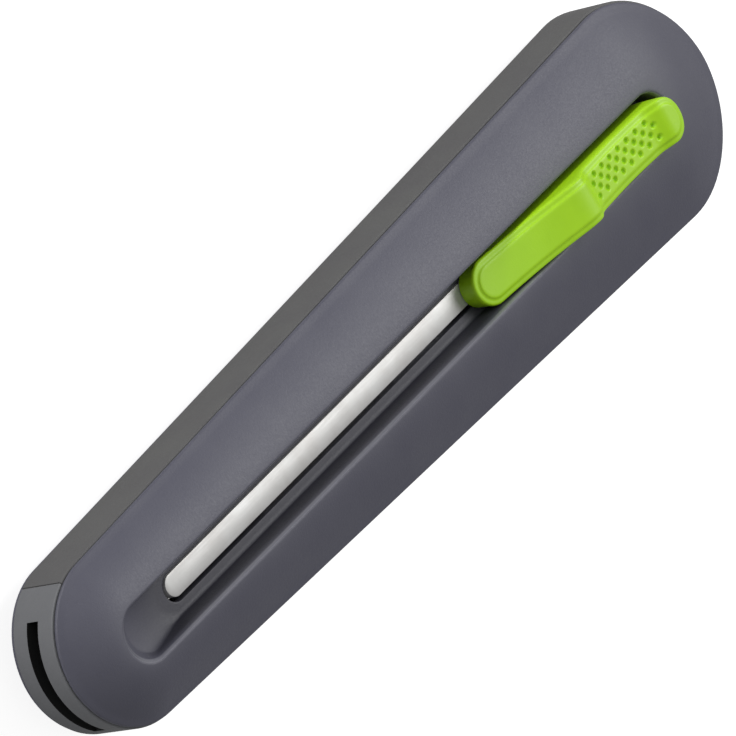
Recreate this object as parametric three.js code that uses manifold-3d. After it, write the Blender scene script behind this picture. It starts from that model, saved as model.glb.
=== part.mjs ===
// An auto-retracting utility knife: two crowned covers and a centre band hold a sprung blade carriage,
// which a thumb slider pushes forward along a metal rail.
// Millimetres. +X runs to the nose, +Z out of the face that carries the slider.
// Heights are measured from the middle of the band; the group at the end stands the knife on its back.
import * as THREE from 'three';
import { mergeVertices } from 'three/addons/utils/BufferGeometryUtils.js';
import Module from 'manifold-3d';

const wasm = await Module();
wasm.setup();

// ---------------------------------------------------------------- driving dimensions

// Body outline, seen from the face
const bodyLength = 165;
const noseHalfWidth = 13.0;
const noseEndLength = 12.3; // from the nose tip back to its widest point
const noseFullness = 1.97; // 2 is an ellipse, lower is more pointed
const rearHalfWidth = 18.2;
const rearEndLength = 17.6;
const rearFullness = 1.9;

// Body section
const bandHeight = 9.0;
const frontCrown = 4.65; // rise of the front cover above the band
const rearCrown = 4.65;
const crownPower = 1.7; // 2 is a parabola, 1 a straight slope
const coverWall = 1.8;
const bandWall = 1.8;
const seamGap = 0.2; // parting groove between two moulded pieces

// Recess that the slider runs in
const rimHalfWidth = 4.4;
const recessDepth = 5.0;
const recessDraft = 0.45; // how much narrower the floor is than the rim, each side
const recessFrontMargin = 8.7; // nose tip to the rim's front end
const recessRearMargin = 16.2;
const rampLength = 10.5; // the recess rises gently to the face at its front end
const rampHollow = 2.4; // how far the ramp has come in from the rim half way down
const tubWall = 1.6;
const railSlotFrontMargin = 3.4; // floor left ahead of the slot before the ramp
const railSlotRearMargin = 5.0;

// Guide rail
const railHalfWidth = 1.75;
const railSideGap = 0.2;
const railEndGap = 0.6;
const railFlange = 0.6;
const railTongue = 4.0; // how far the flange runs on under the floor
const rivetRadius = 0.8;
const rivetDepth = 1.0; // into the cover

// Slider
const travel = 70;
const sliderLeftGap = 0.35;
const sliderRightGap = 0.95; // wider than the left one, so the slider sits to the left of the middle
const sliderRearGap = 1.1; // behind the slider at rest
const sliderLength = 49.9;
const sliderCrest = 3.6; // above the rim
const sliderFloorGap = 0.2;
const webThickness = 0.35; // the web runs along the rail's left side and joins slider and carrier
const webGap = 0.15; // web to rail, and web to the side of its slot
const webLength = 29.5;
const webDepth = 1.6; // into the carrier
const webRoot = 0.5; // into the slider
const webBehindClamp = 1;
const socketGap = 0.1;

// Blade
const bladeLength = 61;
const bladeHalfWidth = 8.7;
const bladeThickness = 1.2;
const bladeSlant = 11;
const bladeTipRound = 2.6;
const bladeBackRound = 1;
const bladeReach = 29; // past the nose when the slider is right forward
const edgeGrind = 2.6;
const halfEdge = 0.05; // half the thickness left at the cutting edge
const mouthSideGap = 0.6;
const mouthHeight = 2.4;
const nosePieceLength = 8.2;

// Blade carrier
const carrierHalfWidth = 9.8;
const carrierFrontGap = 10.0; // carrier to nose tip when the slider is right forward
const carrierLength = 64.5;
const carrierTop = 1.2;
const carrierBottom = -2.7;
const bladePocketGap = 0.3;
const pocketFloorGap = 0.05;
const clampThickness = 0.5;
const clampOverlap = 7; // clamp plate behind the blade
const clampFrontGap = 0.8;
const clampCornerRound = 1.5;
const clampRearRound = 0.5;
const pegRadius = 1.1;
const pegBehindFront = [4.5, 14.5];
const pegSide = -2;
const pegSink = 0.9; // into the carrier
const pegTopGap = 0.05; // peg to clamp
const clampScrewRadius = 0.8;
const clampScrewSide = 6.4;
const clampScrewFloor = 1; // carrier left under the clamp screws

// Guides, stops, spring and screws
const runnerGap = 0.3;
const runnerThickness = 0.8;
const runnerHalfHeight = 3.6;
const runnerFrontMargin = 16.3; // runner to nose tip
const bumperLength = 1.5;
const bumperGap = 0.3;
const bumperInner = 3;
const bumperOuter = 7;
const lugLength = 2; // from the rear bumper's face back
const lugGap = 0.05; // lug to bumper
const lugSink = 0.5; // into the rear cover
const springRadius = 1.9;
const springHeight = -5.0;
const springEndGap = 1.4; // pin centre to the end of the coils
const springPinRadius = 0.8;
const postSink = 0.7; // into the rear cover
const postReach = 2.4; // above the spring's middle
const hookReach = 1.7; // below the spring's middle
const hookSink = 1.2; // into the carrier
const hookBehindFront = 9.5;
const postRadius = 1.8;
const screwRadius = 0.8;
const screwHeadRadius = 1.6;
const screwHeadHeight = 1.2;
const screwHeadSink = 0.4;
const screwGap = 0.12;
const crossDepth = 0.65; // the recess for the driver
const crossHalfLength = 1.0;
const crossHalfWidth = 0.25;
const bossWall = 1.3;
const holeEnd = 0.5; // a blind hole runs on past its screw
const noseThreadMargin = 0.5; // nose screw to mouth
const midScrewX = -30;
const rearScrewX = -70;
const rearScrewSide = 9;
const noseScrewMargin = 5.0;
const restHalfWidth = 5.0; // flat that the knife lies on
const restMargin = 10.5;

// Facets, and how far solids run into each other where they are joined or cut
const arcSteps = 14;
const roundSteps = 16;
const weld = 0.05;
const overcut = 0.01;
const past = 1; // a cut that goes right through runs on this far

// ---------------------------------------------------------------- places worked out from them

const noseTip = bodyLength / 2;
const rearTip = -bodyLength / 2;
const bandTop = bandHeight / 2;
const bandBottom = -bandHeight / 2;
const rimHeight = bandTop + frontCrown;
const restHeight = rearCrown - bandBottom; // how far the band's middle stands above the ground
const floorHeight = rimHeight - recessDepth;
const floorUnder = floorHeight - coverWall;
const floorHalfWidth = rimHalfWidth - recessDraft;
const webInner = railHalfWidth + webGap;
const webOuter = webInner + webThickness;
const slotLeft = webOuter + webGap;
const slotRight = -railHalfWidth - railSideGap;
const sliderHalfWidth = floorHalfWidth - (sliderLeftGap + sliderRightGap) / 2;
const sliderShift = (sliderRightGap - sliderLeftGap) / 2;

const rimFront = noseTip - recessFrontMargin;
const rimRear = rearTip + recessRearMargin;
const sliderFront = rimRear + sliderRearGap + sliderLength;
const floorFront = rimFront - rampLength;
const slotFront = floorFront - railSlotFrontMargin;
const slotRear = rimRear + railSlotRearMargin;
const nosePieceBack = noseTip - nosePieceLength;

const bladeFront = noseTip + bladeReach - travel;
const carrierFront = noseTip - carrierFrontGap - travel;
const carrierRear = carrierFront - carrierLength;
const pocketRear = bladeFront - bladeLength - bladePocketGap;
const pocketFloor = -bladeThickness / 2 - pocketFloorGap;
const clampBottom = carrierTop - clampThickness;
const clampRear = pocketRear - clampOverlap;
const runnerInner = carrierHalfWidth + runnerGap;
const runnerOuter = runnerInner + runnerThickness;
const webFront = clampRear - webBehindClamp;
const webRear = webFront - webLength;
const spreadPost = runnerOuter + runnerGap + postRadius;

// ---------------------------------------------------------------- solids and meshes

// Turns a closed geometry into a solid that can be cut and joined.
function solidFrom(geometry) {
  const bare = geometry.clone();
  bare.deleteAttribute('normal');
  bare.deleteAttribute('uv');
  const merged = mergeVertices(bare, 1e-4);
  const vertProperties = new Float32Array(merged.attributes.position.array);
  const triVerts = new Uint32Array(merged.index.array);
  return new wasm.Manifold(new wasm.Mesh({ numProp: 3, vertProperties, triVerts }));
}

function geometryFrom(solid) {
  const mesh = solid.getMesh();
  const geometry = new THREE.BufferGeometry();
  geometry.setAttribute('position', new THREE.BufferAttribute(mesh.vertProperties, 3));
  geometry.setIndex(new THREE.BufferAttribute(mesh.triVerts, 1));
  return geometry;
}

// A block between two opposite corners.
function block([x0, y0, z0], [x1, y1, z1]) {
  const geometry = new THREE.BoxGeometry(x1 - x0, y1 - y0, z1 - z0);
  return solidFrom(geometry.translate((x0 + x1) / 2, (y0 + y1) / 2, (z0 + z1) / 2));
}

// An upright round bar.
function bar(x, y, radius, low, high) {
  const geometry = new THREE.CylinderGeometry(radius, radius, high - low, roundSteps);
  return solidFrom(geometry.rotateX(Math.PI / 2).translate(x, y, (low + high) / 2));
}

// A plate whose outline lies in the XY plane.
function plate(shape, low, high) {
  const settings = { depth: high - low, bevelEnabled: false, curveSegments: 6 };
  return solidFrom(new THREE.ExtrudeGeometry(shape, settings).translate(0, 0, low));
}

// A closed outline from [x, y, corner radius] corners, each corner rounded.
function roundedShape(corners) {
  const shape = new THREE.Shape();
  corners.forEach(([x, y, radius], i) => {
    const corner = new THREE.Vector2(x, y);
    const [before, after] = [corners.at(i - 1), corners[(i + 1) % corners.length]]
      .map(([px, py]) => new THREE.Vector2(px - x, py - y).setLength(radius).add(corner));
    if (i === 0) shape.moveTo(before.x, before.y);
    else shape.lineTo(before.x, before.y);
    if (radius > 0) shape.quadraticCurveTo(corner.x, corner.y, after.x, after.y);
  });
  shape.closePath();
  return shape;
}

// A tapered stadium seen from above: two oval ends and the straight sides that touch them both.
// Every outline has the same number of points, so one can be lofted to the next.
function outline({ front, rear, noseHalf, rearHalf, noseEnd, rearEnd, noseFull = 2, rearFull = 2 }) {
  const noseX = front - noseEnd;
  const rearX = rear + rearEnd;
  const taper = Math.max(0, rearHalf - noseHalf) / (noseX - rearX);
  // where an oval end's slope is the slope of the sides
  const touch = (end, half, full) => Math.atan((half / (end * taper)) ** (full / (2 * full - 2)));
  const power = (value, full) => Math.sign(value) * Math.abs(value) ** (2 / full);
  const arc = (x, end, half, full, from, to) => {
    const points = [];
    for (let i = 0; i <= arcSteps; i++) {
      const angle = from + ((to - from) * i) / arcSteps;
      points.push(new THREE.Vector2(
        x + end * power(Math.cos(angle), full),
        half * power(Math.sin(angle), full),
      ));
    }
    return points;
  };
  const noseTouch = touch(noseEnd, noseHalf, noseFull);
  const rearTouch = touch(rearEnd, rearHalf, rearFull);
  return [
    ...arc(noseX, noseEnd, noseHalf, noseFull, -noseTouch, noseTouch),
    ...arc(rearX, rearEnd, rearHalf, rearFull, rearTouch, 2 * Math.PI - rearTouch),
  ];
}

// A stadium with round ends.
function stadium(front, rear, half) {
  return outline({ front, rear, noseHalf: half, rearHalf: half, noseEnd: half, rearEnd: half });
}

// The body's outline, drawn in by an inset.
function bodyOutline(inset) {
  return outline({
    front: noseTip - inset,
    rear: rearTip + inset,
    noseHalf: noseHalfWidth - inset,
    rearHalf: rearHalfWidth - inset,
    noseEnd: noseEndLength - inset,
    rearEnd: rearEndLength - inset,
    noseFull: noseFullness,
    rearFull: rearFullness,
  });
}

function between(planA, planB, share) {
  return planA.map((point, i) => point.clone().lerp(planB[i], share));
}

// A closed solid through outlines at rising heights, given as [outline, height] pairs.
function loft(levels) {
  const count = levels[0][0].length;
  const positions = levels.flatMap(([plan, height]) => plan.flatMap((p) => [p.x, p.y, height]));
  const index = [];
  for (let level = 0; level + 1 < levels.length; level++) {
    for (let i = 0; i < count; i++) {
      const a = level * count + i;
      const b = level * count + ((i + 1) % count);
      index.push(a, b, b + count, a, b + count, a + count);
    }
  }
  const top = (levels.length - 1) * count;
  for (const [a, b, c] of THREE.ShapeUtils.triangulateShape(levels[0][0], [])) index.push(c, b, a);
  for (const [a, b, c] of THREE.ShapeUtils.triangulateShape(levels.at(-1)[0], [])) {
    index.push(top + a, top + b, top + c);
  }
  const geometry = new THREE.BufferGeometry();
  geometry.setAttribute('position', new THREE.Float32BufferAttribute(positions, 3));
  geometry.setIndex(index);
  return solidFrom(geometry);
}

// Share of the crown's rise at a share of the way in from the edge.
const rise = (share) => 1 - (1 - share) ** crownPower;
const crownShares = [0, 0.12, 0.28, 0.48, 0.72, 1];

// A crowned dome from the body's edge up to a flat of the given outline.
function dome(inset, flat, crown) {
  const edge = bodyOutline(inset);
  return loft(crownShares.map((share) => [between(edge, flat, share), bandTop + crown * rise(share)]));
}

// ---------------------------------------------------------------- materials

const finishes = {
  cover: { color: 0x66666f, roughness: 0.62, metalness: 0 },
  band: { color: 0x5d5d5e, roughness: 0.68, metalness: 0 },
  slider: { color: 0xa4dc2c, roughness: 0.42, metalness: 0 },
  rail: { color: 0xc9c9c4, roughness: 0.4, metalness: 0.7 },
  steel: { color: 0xb4b6ba, roughness: 0.3, metalness: 1 },
  ceramic: { color: 0xf1efe8, roughness: 0.25, metalness: 0 },
  acetal: { color: 0xe6e4dc, roughness: 0.5, metalness: 0 },
  carrier: { color: 0x2e2f33, roughness: 0.6, metalness: 0 },
  rubber: { color: 0x1b1b1d, roughness: 0.9, metalness: 0 },
};

const knife = new THREE.Group();
knife.position.z = restHeight;

function addPiece(name, solid, finish) {
  const mesh = new THREE.Mesh(geometryFrom(solid), new THREE.MeshStandardMaterial(finishes[finish]));
  mesh.name = name;
  knife.add(mesh);
}

const bothSides = [['left', 1], ['right', -1]];

// ---------------------------------------------------------------- screws

const coverScrews = [
  { name: 'mid_left', x: midScrewX, y: spreadPost },
  { name: 'mid_right', x: midScrewX, y: -spreadPost },
  { name: 'rear_left', x: rearScrewX, y: rearScrewSide },
  { name: 'rear_right', x: rearScrewX, y: -rearScrewSide },
];
const noseScrew = { name: 'nose', x: noseTip - noseScrewMargin, y: 0 };
const postBottom = bandBottom + seamGap;
const threadTop = bandTop - coverWall; // how high the cover screws reach
const noseThreadTop = -mouthHeight / 2 - noseThreadMargin;

// Height of the rear cover's outside below the band, at a place along and across.
function rearDrop(x, y) {
  const taper = (rearHalfWidth - noseHalfWidth) / (bodyLength - noseEndLength - rearEndLength);
  const middle = noseHalfWidth + (noseTip - noseEndLength - x) * taper;
  const noseRun = Math.max(0, x - (noseTip - noseEndLength)) / noseEndLength;
  const rearRun = Math.max(0, rearTip + rearEndLength - x) / rearEndLength;
  const half = Math.min(middle, rearHalfWidth) * Math.sqrt(1 - Math.max(noseRun, rearRun) ** 2);
  const fromEnd = Math.min(noseTip - x, x - rearTip) / restMargin;
  const fromSide = (half - Math.abs(y)) / (half - restHalfWidth);
  return rearCrown * rise(Math.min(1, fromEnd, fromSide));
}

function screwSeat({ x, y }) {
  return bandBottom - rearDrop(x, y) + screwHeadSink + screwHeadHeight;
}

// A pan-head screw entered from the back, with a cross recess in its head.
function screw(place, tipHeight) {
  const seat = screwSeat(place);
  const head = seat - screwHeadHeight;
  const { x, y } = place;
  const slotAlong = (halfX, halfY) => block(
    [x - halfX, y - halfY, head - past],
    [x + halfX, y + halfY, head + crossDepth],
  );
  return bar(x, y, screwHeadRadius, head, seat)
    .add(bar(x, y, screwRadius, seat - weld, tipHeight))
    .subtract(slotAlong(crossHalfLength, crossHalfWidth))
    .subtract(slotAlong(crossHalfWidth, crossHalfLength));
}

// ---------------------------------------------------------------- covers, band and nose

function frontCover() {
  const rim = stadium(rimFront, rimRear, rimHalfWidth);
  const halfDraft = recessDraft / 2;
  const outside = dome(0, rim, frontCrown);
  const inside = dome(coverWall, rim, frontCrown - coverWall).translate([0, 0, -overcut]);
  const halfWay = stadium(rimFront - rampHollow, rimRear + halfDraft, rimHalfWidth - halfDraft);
  const recess = loft([
    [stadium(floorFront, rimRear + recessDraft, floorHalfWidth), floorHeight],
    [halfWay, rimHeight - recessDepth / 2],
    [rim, rimHeight + overcut],
  ]);
  const tub = loft([
    [stadium(floorFront + tubWall * 2, rimRear - tubWall, floorHalfWidth + tubWall), floorUnder],
    [stadium(rimFront + tubWall, rimRear - tubWall, rimHalfWidth + tubWall), rimHeight - coverWall * 0.6],
  ]);
  const slotPlan = stadium(slotFront, slotRear, (slotLeft - slotRight) / 2);
  const slot = loft([[slotPlan, floorUnder - past], [slotPlan, floorHeight + past]])
    .translate([0, (slotLeft + slotRight) / 2, 0]);
  let cover = outside.subtract(inside).add(tub.intersect(outside.add(tub.trimByPlane([0, 0, -1], -bandTop))));
  for (const { x, y } of coverScrews) {
    cover = cover.add(bar(x, y, postRadius, postBottom, bandTop + holeEnd).add(
      bar(x, y, postRadius, bandTop, rimHeight).intersect(outside),
    ));
    cover = cover.subtract(bar(x, y, screwRadius + screwGap, postBottom - past, threadTop + holeEnd));
  }
  for (const { x } of railRivets) {
    cover = cover.subtract(bar(x, 0, rivetRadius + socketGap, floorUnder - past, rivetTop + socketGap));
  }
  return cover.subtract(recess).subtract(slot);
}

function rearCover() {
  const flat = stadium(noseTip - restMargin, rearTip + restMargin, restHalfWidth);
  const outside = dome(0, flat, rearCrown);
  const inside = dome(coverWall, flat, rearCrown - coverWall).translate([0, 0, -overcut]);
  // the dome is made crown up, then turned over about X, which keeps the nose at +X
  const turnOver = (solid) => solid.rotate([180, 0, 0]);
  const outsideDown = turnOver(outside);
  let cover = outsideDown.subtract(turnOver(inside));
  const innerFloor = -restHeight + coverWall;
  for (const place of [...coverScrews, noseScrew]) {
    const boss = bar(place.x, place.y, screwHeadRadius + bossWall, -restHeight, bandBottom - overcut);
    cover = cover.add(boss.intersect(outsideDown));
  }
  for (const place of [...coverScrews, noseScrew]) {
    const { x, y } = place;
    cover = cover
      .subtract(bar(x, y, screwHeadRadius + screwGap * 2, -restHeight - past, screwSeat(place)))
      .subtract(bar(x, y, screwRadius + screwGap, -restHeight, bandBottom + past));
  }
  for (const [, side] of bothSides) {
    const near = Math.min(side * bumperInner, side * bumperOuter);
    const lug = block(
      [rearBumperBack - lugLength, near, innerFloor - lugSink],
      [rearBumperBack - lugGap, near + bumperOuter - bumperInner, carrierTop],
    );
    cover = cover.add(lug);
  }
  const socketBottom = innerFloor - postSink - socketGap;
  return cover.subtract(bar(springPostX, 0, springPinRadius + socketGap, socketBottom, innerFloor + past));
}

// The band all round the knife's edge, as one solid slab.
function bandSlab(inset) {
  return loft([
    [bodyOutline(inset), bandBottom + seamGap],
    [bodyOutline(inset), bandTop - seamGap],
  ]);
}

function centreFrame() {
  const inside = bandSlab(bandWall).scale([1, 1, 2]);
  const ahead = block(
    [nosePieceBack - seamGap, -rearHalfWidth, -bandHeight],
    [noseTip + past, rearHalfWidth, bandHeight],
  );
  return bandSlab(0).subtract(inside).subtract(ahead);
}

function nosePiece() {
  const behind = block(
    [rearTip - past, -rearHalfWidth - past, -bandHeight],
    [nosePieceBack, rearHalfWidth + past, bandHeight],
  );
  const mouthHalf = bladeHalfWidth + mouthSideGap;
  const mouth = block(
    [nosePieceBack - past, -mouthHalf, -mouthHeight / 2],
    [noseTip + past, mouthHalf, mouthHeight / 2],
  );
  const { x, y } = noseScrew;
  const thread = bar(x, y, screwRadius + screwGap, bandBottom - past, noseThreadTop + socketGap);
  return bandSlab(0).subtract(behind).subtract(mouth).subtract(thread);
}

// ---------------------------------------------------------------- rail

const railTop = floorHeight;
const flangeTop = floorUnder - socketGap;
const rivetTop = floorUnder + rivetDepth;
const railRivets = [
  { name: 'front', x: slotFront + railTongue / 2 },
  { name: 'rear', x: slotRear - railTongue / 2 },
];

function guideRail() {
  const strip = stadium(slotFront - railEndGap, slotRear + railEndGap, railHalfWidth);
  const flange = stadium(slotFront + railTongue, slotRear - railTongue, railHalfWidth);
  let rail = loft([[strip, flangeTop - weld], [strip, railTop]])
    .add(loft([[flange, flangeTop - railFlange], [flange, flangeTop]]));
  for (const { x } of railRivets) {
    rail = rail.subtract(bar(x, 0, rivetRadius + socketGap, flangeTop - railFlange - past, flangeTop + past));
  }
  return rail;
}

// ---------------------------------------------------------------- slider

// Side view of the thumb slider as [x from its front, height above the rim, corner radius].
const sliderSide = [
  [0, -recessDepth + sliderFloorGap, 0],
  [0, -2.1, 0.8],
  [-1.8, -1.3, 0.8],
  [-8, -0.5, 3],
  [-15.5, 1.0, 3],
  [-23.2, sliderCrest, 1.0],
  [-25.2, sliderCrest, 0.8],
  [-27.4, 2.1, 1.0],
  [-35.5, 1.5, 4],
  [-43.6, 2.1, 1.0],
  [-45.6, sliderCrest, 1.0],
  [-48.4, sliderCrest, 1.0],
  [-sliderLength, sliderCrest - 1.8, 1.0],
  [-sliderLength, -recessDepth + sliderFloorGap, 0],
];

function sliderButton() {
  const sideView = roundedShape(sliderSide.map(([x, z, r]) => [sliderFront + x, rimHeight + z, r]));
  const depth = 4 * sliderHalfWidth;
  const slice = new THREE.ExtrudeGeometry(sideView, { depth, bevelEnabled: false, curveSegments: 4 });
  const sideSolid = solidFrom(slice.rotateX(Math.PI / 2).translate(0, depth / 2, 0));
  const plan = (half) => stadium(sliderFront, sliderFront - sliderLength, half);
  const sideWalls = loft([
    [plan(sliderHalfWidth), floorHeight],
    [plan(sliderHalfWidth + recessDraft), rimHeight],
    [plan(sliderHalfWidth + recessDraft), rimHeight + 2 * sliderCrest],
  ]).translate([0, sliderShift, 0]);
  const web = block(
    [webRear, webInner, carrierTop - webDepth],
    [webFront, webOuter, floorHeight + sliderFloorGap + webRoot],
  );
  return sideSolid.intersect(sideWalls).add(web);
}

// ---------------------------------------------------------------- blade carrier and blade

const pegs = pegBehindFront.map((gap, i) => ({ name: ['front', 'rear'][i], x: carrierFront - gap }));
const pegBottom = pocketFloor - pegSink;
const clampScrewX = clampRear + clampOverlap / 2;
const clampScrewEnd = carrierBottom + clampScrewFloor;

function bladeCarrier() {
  const pocketHalf = bladeHalfWidth + bladePocketGap;
  const blank = block(
    [carrierRear, -carrierHalfWidth, carrierBottom],
    [carrierFront, carrierHalfWidth, carrierTop],
  );
  let carrier = blank
    .subtract(block(
      [pocketRear, -pocketHalf, pocketFloor],
      [carrierFront + past, pocketHalf, carrierTop + past],
    ))
    .subtract(block(
      [clampRear - socketGap, -pocketHalf, clampBottom - pocketFloorGap],
      [pocketRear + past, pocketHalf, carrierTop + past],
    ));
  carrier = carrier.subtract(block(
    [webRear - socketGap, webInner - socketGap, carrierTop - webDepth - socketGap],
    [webFront + socketGap, webOuter + socketGap, carrierTop + past],
  ));
  for (const [, side] of bothSides) {
    const y = side * clampScrewSide;
    const holeBottom = clampScrewEnd - socketGap;
    carrier = carrier.subtract(bar(clampScrewX, y, clampScrewRadius + socketGap, holeBottom, carrierTop));
  }
  for (const { x } of pegs) {
    carrier = carrier.subtract(bar(x, pegSide, pegRadius + socketGap, pegBottom - socketGap, carrierTop));
  }
  const hookHole = bar(hookX, 0, springPinRadius + socketGap, carrierBottom - past, hookTop + socketGap);
  return carrier.subtract(hookHole);
}

function bladeClamp() {
  const half = bladeHalfWidth;
  const shape = roundedShape([
    [carrierFront - clampFrontGap, -half, clampCornerRound],
    [carrierFront - clampFrontGap, half, clampCornerRound],
    [clampRear, half, clampRearRound],
    [clampRear, -half, clampRearRound],
  ]);
  let clamp = plate(shape, clampBottom, carrierTop);
  for (const [, side] of bothSides) {
    const hole = bar(clampScrewX, side * clampScrewSide, clampScrewRadius + socketGap, 0, carrierTop + past);
    clamp = clamp.subtract(hole);
  }
  return clamp;
}

function blade() {
  const rear = bladeFront - bladeLength;
  const shape = roundedShape([
    [rear, -bladeHalfWidth, bladeTipRound],
    [bladeFront, -bladeHalfWidth, bladeTipRound],
    [bladeFront - bladeSlant, bladeHalfWidth, bladeBackRound],
    [rear + bladeSlant, bladeHalfWidth, bladeBackRound],
  ]);
  let ground = plate(shape, -bladeThickness / 2, bladeThickness / 2);
  // two slanting cuts grind the long side down to the cutting edge
  const angle = Math.atan((bladeThickness / 2 - halfEdge) / edgeGrind);
  for (const face of [1, -1]) {
    const cut = new THREE.BoxGeometry(bladeLength + 10, 20, 4)
      .translate(0, 10 - edgeGrind * 2, 2)
      .rotateX(angle)
      .translate(bladeFront - bladeLength / 2, -bladeHalfWidth, halfEdge);
    const groundPart = block(
      [rear - 9, -bladeHalfWidth - 9, -3],
      [bladeFront + 9, -bladeHalfWidth + edgeGrind, 3],
    );
    const wedge = solidFrom(cut).intersect(groundPart);
    ground = ground.subtract(face > 0 ? wedge : wedge.mirror([0, 0, 1]));
  }
  for (const { x } of pegs) {
    ground = ground.subtract(bar(x, pegSide, pegRadius + socketGap, -bladeThickness, bladeThickness));
  }
  return ground;
}

// ---------------------------------------------------------------- spring and stops

const hookX = carrierFront - hookBehindFront;
const hookTop = carrierBottom + hookSink;
const springPostX = rearScrewX;
const rearBumperBack = carrierRear - bumperGap - bumperLength;

// The return spring's outer shape; its coils are wound inside this.
function returnSpring() {
  const [rear, front] = [springPostX + springEndGap, hookX - springEndGap];
  const coil = new THREE.CylinderGeometry(springRadius, springRadius, front - rear, roundSteps);
  return solidFrom(coil.rotateZ(Math.PI / 2).translate((rear + front) / 2, 0, springHeight));
}

function bumper(x, side, low, high) {
  const [inner, outer] = side > 0 ? [bumperInner, bumperOuter] : [-bumperOuter, -bumperInner];
  return block([x, inner, low], [x + bumperLength, outer, high]);
}

// ---------------------------------------------------------------- the knife

addPiece('front_cover', frontCover(), 'cover');
addPiece('rear_cover', rearCover(), 'cover');
addPiece('centre_frame', centreFrame(), 'band');
addPiece('nose_piece', nosePiece(), 'band');
addPiece('guide_rail', guideRail(), 'rail');
for (const { name, x } of railRivets) {
  addPiece(`rail_rivet_${name}`, bar(x, 0, rivetRadius, flangeTop - railFlange, rivetTop), 'steel');
}
for (const place of coverScrews) {
  addPiece(`cover_screw_${place.name}`, screw(place, threadTop), 'steel');
}
addPiece('nose_screw', screw(noseScrew, noseThreadTop), 'steel');

for (const [name, side] of bothSides) {
  const [inner, outer] = side > 0 ? [runnerInner, runnerOuter] : [-runnerOuter, -runnerInner];
  const runner = block(
    [carrierRear, inner, -runnerHalfHeight],
    [noseTip - runnerFrontMargin, outer, runnerHalfHeight],
  );
  addPiece(`${name}_runner`, runner, 'acetal');
  const frontBumperX = nosePieceBack - seamGap - bumperLength;
  const jawBottom = bandBottom + seamGap;
  addPiece(`front_bumper_${name}`, bumper(frontBumperX, side, jawBottom, -mouthHeight / 2), 'rubber');
  addPiece(`rear_bumper_${name}`, bumper(rearBumperBack, side, carrierBottom, carrierTop), 'rubber');
}

const postBase = -restHeight + coverWall - postSink;
addPiece('spring_post', bar(springPostX, 0, springPinRadius, postBase, springHeight + postReach), 'steel');
addPiece('return_spring', returnSpring(), 'steel');

addPiece('slider_button', sliderButton(), 'slider');
addPiece('blade_carrier', bladeCarrier(), 'carrier');
addPiece('blade_clamp', bladeClamp(), 'steel');
for (const [name, side] of bothSides) {
  const clampScrew = bar(clampScrewX, side * clampScrewSide, clampScrewRadius, clampScrewEnd, carrierTop);
  addPiece(`clamp_screw_${name}`, clampScrew, 'steel');
}
addPiece('blade', blade(), 'ceramic');
for (const { name, x } of pegs) {
  addPiece(`blade_peg_${name}`, bar(x, pegSide, pegRadius, pegBottom, clampBottom - pegTopGap), 'steel');
}
addPiece('spring_hook', bar(hookX, 0, springPinRadius, springHeight - hookReach, hookTop), 'steel');

export default knife;
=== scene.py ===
"""An auto-retracting utility knife: crowned covers on a centre band, a slotted nose piece,
a metal rail along the recess, a thumb slider, and the sprung blade and carrier inside.

Shapes are worked out in millimetres in the frame's own axes: +X to the nose, +Z out of the
face with the slider. The knife lies on its back.
"""

import math

import bmesh
import bpy
import numpy as np
from mathutils import Matrix, Vector


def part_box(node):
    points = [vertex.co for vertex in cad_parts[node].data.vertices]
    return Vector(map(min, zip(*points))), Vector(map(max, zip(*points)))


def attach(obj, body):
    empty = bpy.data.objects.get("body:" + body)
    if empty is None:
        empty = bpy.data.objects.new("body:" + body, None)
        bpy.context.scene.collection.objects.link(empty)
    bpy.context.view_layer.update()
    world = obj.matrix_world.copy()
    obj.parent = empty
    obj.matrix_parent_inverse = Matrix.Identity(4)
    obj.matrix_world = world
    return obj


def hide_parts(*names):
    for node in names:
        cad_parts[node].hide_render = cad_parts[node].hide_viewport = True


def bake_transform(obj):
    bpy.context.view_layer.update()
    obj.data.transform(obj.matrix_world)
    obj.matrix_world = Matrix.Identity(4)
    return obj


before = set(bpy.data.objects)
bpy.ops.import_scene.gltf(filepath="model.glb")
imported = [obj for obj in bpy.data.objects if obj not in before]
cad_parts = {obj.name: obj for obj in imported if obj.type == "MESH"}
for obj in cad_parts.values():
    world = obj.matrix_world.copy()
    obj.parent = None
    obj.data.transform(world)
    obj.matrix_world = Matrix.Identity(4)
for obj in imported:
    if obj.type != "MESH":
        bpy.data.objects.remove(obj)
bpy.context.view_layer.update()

MM = 0.001

# ------------------------------------------------------------------ sizes, in millimetres


def box_mm(node):
    """Lowest and highest corner of a CAD node, in millimetres."""
    low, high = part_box(node)
    return np.array(low) / MM, np.array(high) / MM


cover_low, cover_high = box_mm("front_cover")
band_low, band_high = box_mm("centre_frame")
back_low, _ = box_mm("rear_cover")
rail_low, rail_high = box_mm("guide_rail")
slider_low, slider_high = box_mm("slider_button")
blade_low, blade_high = box_mm("blade")
spring_low, spring_high = box_mm("return_spring")
nose_low, nose_high = box_mm("nose_piece")

nose_tip, rear_tip = cover_high[0], cover_low[0]
rim_height = cover_high[2]
middle = (band_low[2] + band_high[2]) / 2
SEAM = 0.2  # parting groove between two moulded pieces
cover_base, back_base = band_high[2] + SEAM, band_low[2] - SEAM
crown = rim_height - cover_base

# the outline's ends: half width, length from tip to widest point, and fullness (2 is an ellipse)
NOSE_HALF, NOSE_END, NOSE_FULL = 13.0, 12.3, 1.97
REAR_HALF, REAR_END, REAR_FULL = 18.2, 17.6, 1.9
CROWN_POWER = 1.7
WALL = 1.8
SEAM_STEP = 0.28  # the covers stand in from the band, which leaves a dark groove

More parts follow.
